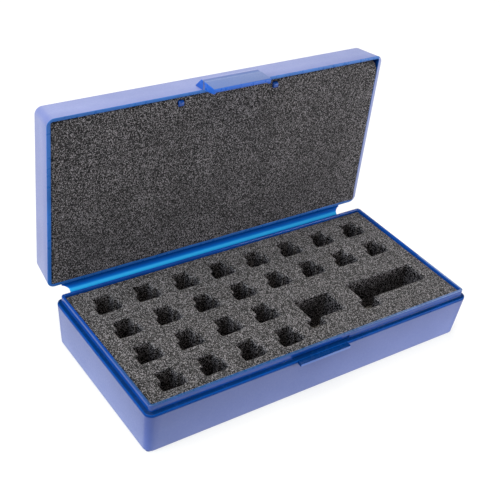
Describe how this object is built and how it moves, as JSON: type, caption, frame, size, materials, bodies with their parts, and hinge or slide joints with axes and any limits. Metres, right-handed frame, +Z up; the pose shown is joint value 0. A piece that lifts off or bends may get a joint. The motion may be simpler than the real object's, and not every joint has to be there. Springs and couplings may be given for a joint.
{
  "type": "miniature carry case",
  "caption": "Shallow hinged plastic case for small game figures, shown open, with a pocketed foam tray in the base, a foam pad in the lid and a snap latch flap.",
  "frame": {"origin": "centre of the base's underside, on the surface that it stands on", "axes": "+X to the right along the case's long side, +Y to the back where the hinge is, +Z up; stored open with the lid upright"},
  "size_m": [0.2194, 0.1321, 0.14],
  "materials": {
    "base_plastic": "fine moulded texture with a polished blue rim",
    "strip_plastic": "smooth, glossy, slightly see-through",
    "lid_plastic": "fine moulded texture with a polished blue rim",
    "latch_plastic": "fine moulded texture",
    "tray_foam": "open-cell foam, dull, finely speckled",
    "foam_floor": "open-cell foam, dull, near black",
    "lid_foam": "soft open-cell foam, dull, dark grey"
  },
  "bodies": {
    "base": {"base_shell": "base_plastic", "tray_foam": "tray_foam", "foam_floor": "foam_floor"},
    "strip": {"hinge_strip": "strip_plastic"},
    "lid": {"lid_shell": "lid_plastic", "lid_foam": "lid_foam"},
    "latch": {"latch_flap": "latch_plastic"}
  },
  "joints": [
    {"name": "lid_hinge", "type": "hinge", "parent": "strip", "child": "lid", "pos_m": [0, 0.06269, 0.02858], "axis": [-1, 0, 0], "range_deg": [-45, 45]},
    {"name": "strip_hinge", "type": "hinge", "parent": "base", "child": "strip", "pos_m": [0, 0.0542, 0.0201], "axis": [-1, 0, 0], "range_deg": [-45, 45]},
    {"name": "latch_hinge", "type": "hinge", "parent": "lid", "child": "latch", "pos_m": [-0.0005, 0.05779, 0.13919], "axis": [-1, 0, 0], "range_deg": [-14, 100]}
  ],
  "couplings": [
    {"joint": "strip_hinge", "follows": "lid_hinge", "ratio": 1}
  ]
}
